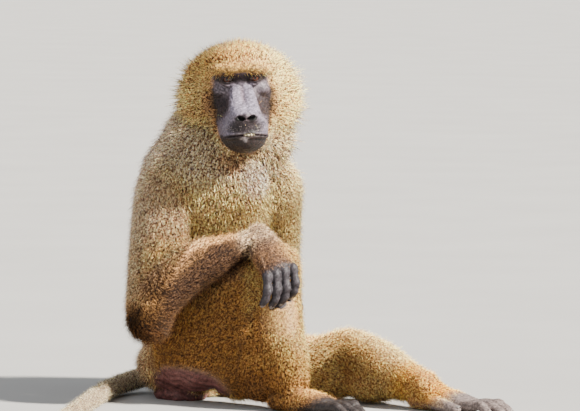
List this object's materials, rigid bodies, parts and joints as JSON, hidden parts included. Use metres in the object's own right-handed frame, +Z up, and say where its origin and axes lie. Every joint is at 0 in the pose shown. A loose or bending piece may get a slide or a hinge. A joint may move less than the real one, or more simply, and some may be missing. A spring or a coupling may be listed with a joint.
{
  "type": "guinea baboon",
  "caption": "Still life-size model of an adult male baboon sitting upright, one knee drawn up under its forearm, the other leg stretched out, head turned to its right.",
  "frame": {"origin": "the middle of the seat pads, on the floor", "axes": "+X the way the hips face, +Y the animal's left, +Z up"},
  "size_m": [0.6855, 0.7424, 0.5687],
  "materials": {
    "fur_head": "coarse speckled fur, golden on the crown and pale on the cheeks; bare grey-violet skin on the face",
    "fur_mane": "long speckled fur, grey-brown with yellow tips",
    "fur_body": "speckled fur, golden brown, rusty towards the ankles",
    "fur_arm": "speckled fur, darker brown on the forearm",
    "skin_bare": "bare dark grey skin",
    "skin_seat": "bare wrinkled pink-violet skin",
    "eye": "wet, reddish brown"
  },
  "bodies": {
    "root": {"ear_left": "skin_bare", "ear_right": "skin_bare", "eye_left": "eye", "eye_right": "eye", "foot_left": "skin_bare", "foot_right": "skin_bare", "forearm_left": "fur_arm", "forearm_right": "fur_arm", "hand_left": "skin_bare", "hand_right": "skin_bare", "head": "fur_head", "neck": "fur_mane", "pelvis": "fur_body", "seat_pads": "skin_seat", "shank_left": "fur_body", "shank_right": "fur_body", "tail_middle": "fur_body", "tail_root": "fur_body", "tail_tip": "fur_body", "thigh_left": "fur_body", "thigh_right": "fur_body", "torso": "fur_body", "upper_arm_left": "fur_arm", "upper_arm_right": "fur_arm"}
  },
  "joints": []
}
